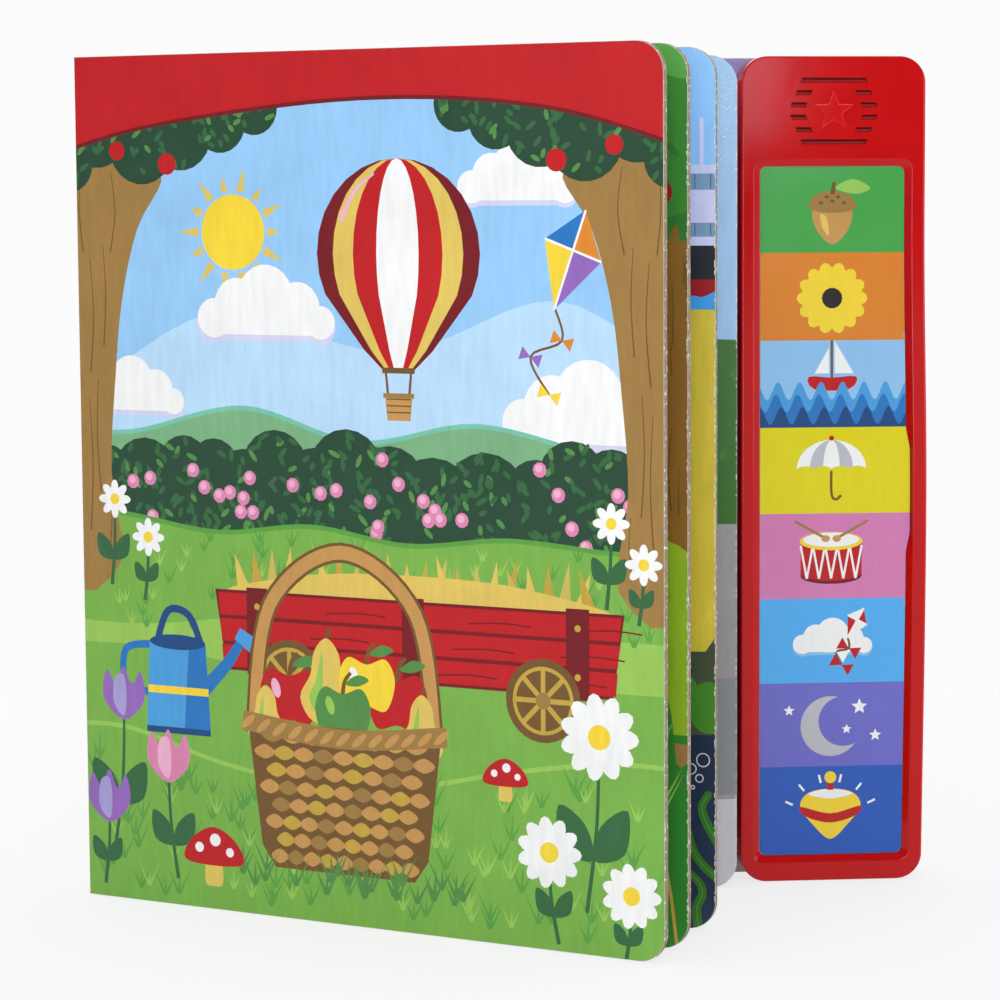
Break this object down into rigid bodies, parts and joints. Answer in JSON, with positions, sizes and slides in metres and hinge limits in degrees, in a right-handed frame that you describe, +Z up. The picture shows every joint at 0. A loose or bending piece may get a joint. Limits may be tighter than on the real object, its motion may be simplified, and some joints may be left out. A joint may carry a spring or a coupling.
{
  "type": "sound book",
  "caption": "Upright board book with fanned card leaves and a sound strip beside them: a moulded casing with a grille and a column of picture keys.",
  "frame": {"origin": "middle of the foot of the whole book, half way from spine to sound strip and from the cover's fore-edge to the rear board's back", "axes": "+X from the spine to the sound strip, +Y to the back of the book, +Z up"},
  "size_m": [0.258, 0.118, 0.254],
  "materials": {
    "cover_print": "laminated print",
    "leaf_print": "laminated print",
    "board_print": "laminated print",
    "red_casing": "glossy moulding",
    "film_print": "glossy printed film",
    "white_moulding": "plain moulding",
    "grey_rubber": "matt",
    "circuit_green": "solder mask",
    "black_epoxy": "cast",
    "foam": "foam",
    "speaker_steel": "pressed sheet",
    "speaker_cone": "matt",
    "magnet": "plain",
    "lead_black": "insulation",
    "nickel_strip": "nickel plated",
    "screw_steel": "zinc plated",
    "cell_steel": "polished can"
  },
  "bodies": {
    "book": {"pages": "leaf_print", "back_cover": "board_print", "front_casing": "red_casing", "rear_casing": "red_casing", "battery_door": "red_casing", "button_film": "film_print", "key_frame": "white_moulding", "contact_sheet": "grey_rubber", "circuit_board": "circuit_green", "chip_cover": "black_epoxy", "speaker_gasket": "foam", "speaker_basket": "speaker_steel", "speaker_cone": "speaker_cone", "speaker_magnet": "magnet", "speaker_lead_1": "lead_black", "speaker_lead_2": "lead_black", "contact_minus": "nickel_strip", "contact_bridge_floor": "nickel_strip", "contact_bridge_door": "nickel_strip", "contact_plus": "nickel_strip", "door_screw": "screw_steel", "cell_1": "cell_steel", "cell_2": "cell_steel", "cell_3": "cell_steel", "casing_screw_1": "screw_steel", "casing_screw_2": "screw_steel", "casing_screw_3": "screw_steel", "casing_screw_4": "screw_steel", "casing_screw_5": "screw_steel", "casing_screw_6": "screw_steel"},
    "cover": {"front_cover": "cover_print"},
    "key_1": {"key_1": "white_moulding"},
    "key_2": {"key_2": "white_moulding"},
    "key_3": {"key_3": "white_moulding"},
    "key_4": {"key_4": "white_moulding"},
    "key_5": {"key_5": "white_moulding"},
    "key_6": {"key_6": "white_moulding"},
    "key_7": {"key_7": "white_moulding"},
    "key_8": {"key_8": "white_moulding"}
  },
  "joints": [
    {"name": "cover_crease", "type": "hinge", "parent": "book", "child": "cover", "pos_m": [-0.12897, 0.0479, 0], "axis": [0, 0, -1], "range_deg": [-4, 147]},
    {"name": "key_1_press", "type": "slide", "parent": "book", "child": "key_1", "axis": [0, 1, 0], "range_m": [0, 0.0008], "stiffness_N_per_m": 1500},
    {"name": "key_2_press", "type": "slide", "parent": "book", "child": "key_2", "axis": [0, 1, 0], "range_m": [0, 0.0008], "stiffness_N_per_m": 1500},
    {"name": "key_3_press", "type": "slide", "parent": "book", "child": "key_3", "axis": [0, 1, 0], "range_m": [0, 0.0008], "stiffness_N_per_m": 1500},
    {"name": "key_4_press", "type": "slide", "parent": "book", "child": "key_4", "axis": [0, 1, 0], "range_m": [0, 0.0008], "stiffness_N_per_m": 1500},
    {"name": "key_5_press", "type": "slide", "parent": "book", "child": "key_5", "axis": [0, 1, 0], "range_m": [0, 0.0008], "stiffness_N_per_m": 1500},
    {"name": "key_6_press", "type": "slide", "parent": "book", "child": "key_6", "axis": [0, 1, 0], "range_m": [0, 0.0008], "stiffness_N_per_m": 1500},
    {"name": "key_7_press", "type": "slide", "parent": "book", "child": "key_7", "axis": [0, 1, 0], "range_m": [0, 0.0008], "stiffness_N_per_m": 1500},
    {"name": "key_8_press", "type": "slide", "parent": "book", "child": "key_8", "axis": [0, 1, 0], "range_m": [0, 0.0008], "stiffness_N_per_m": 1500}
  ]
}
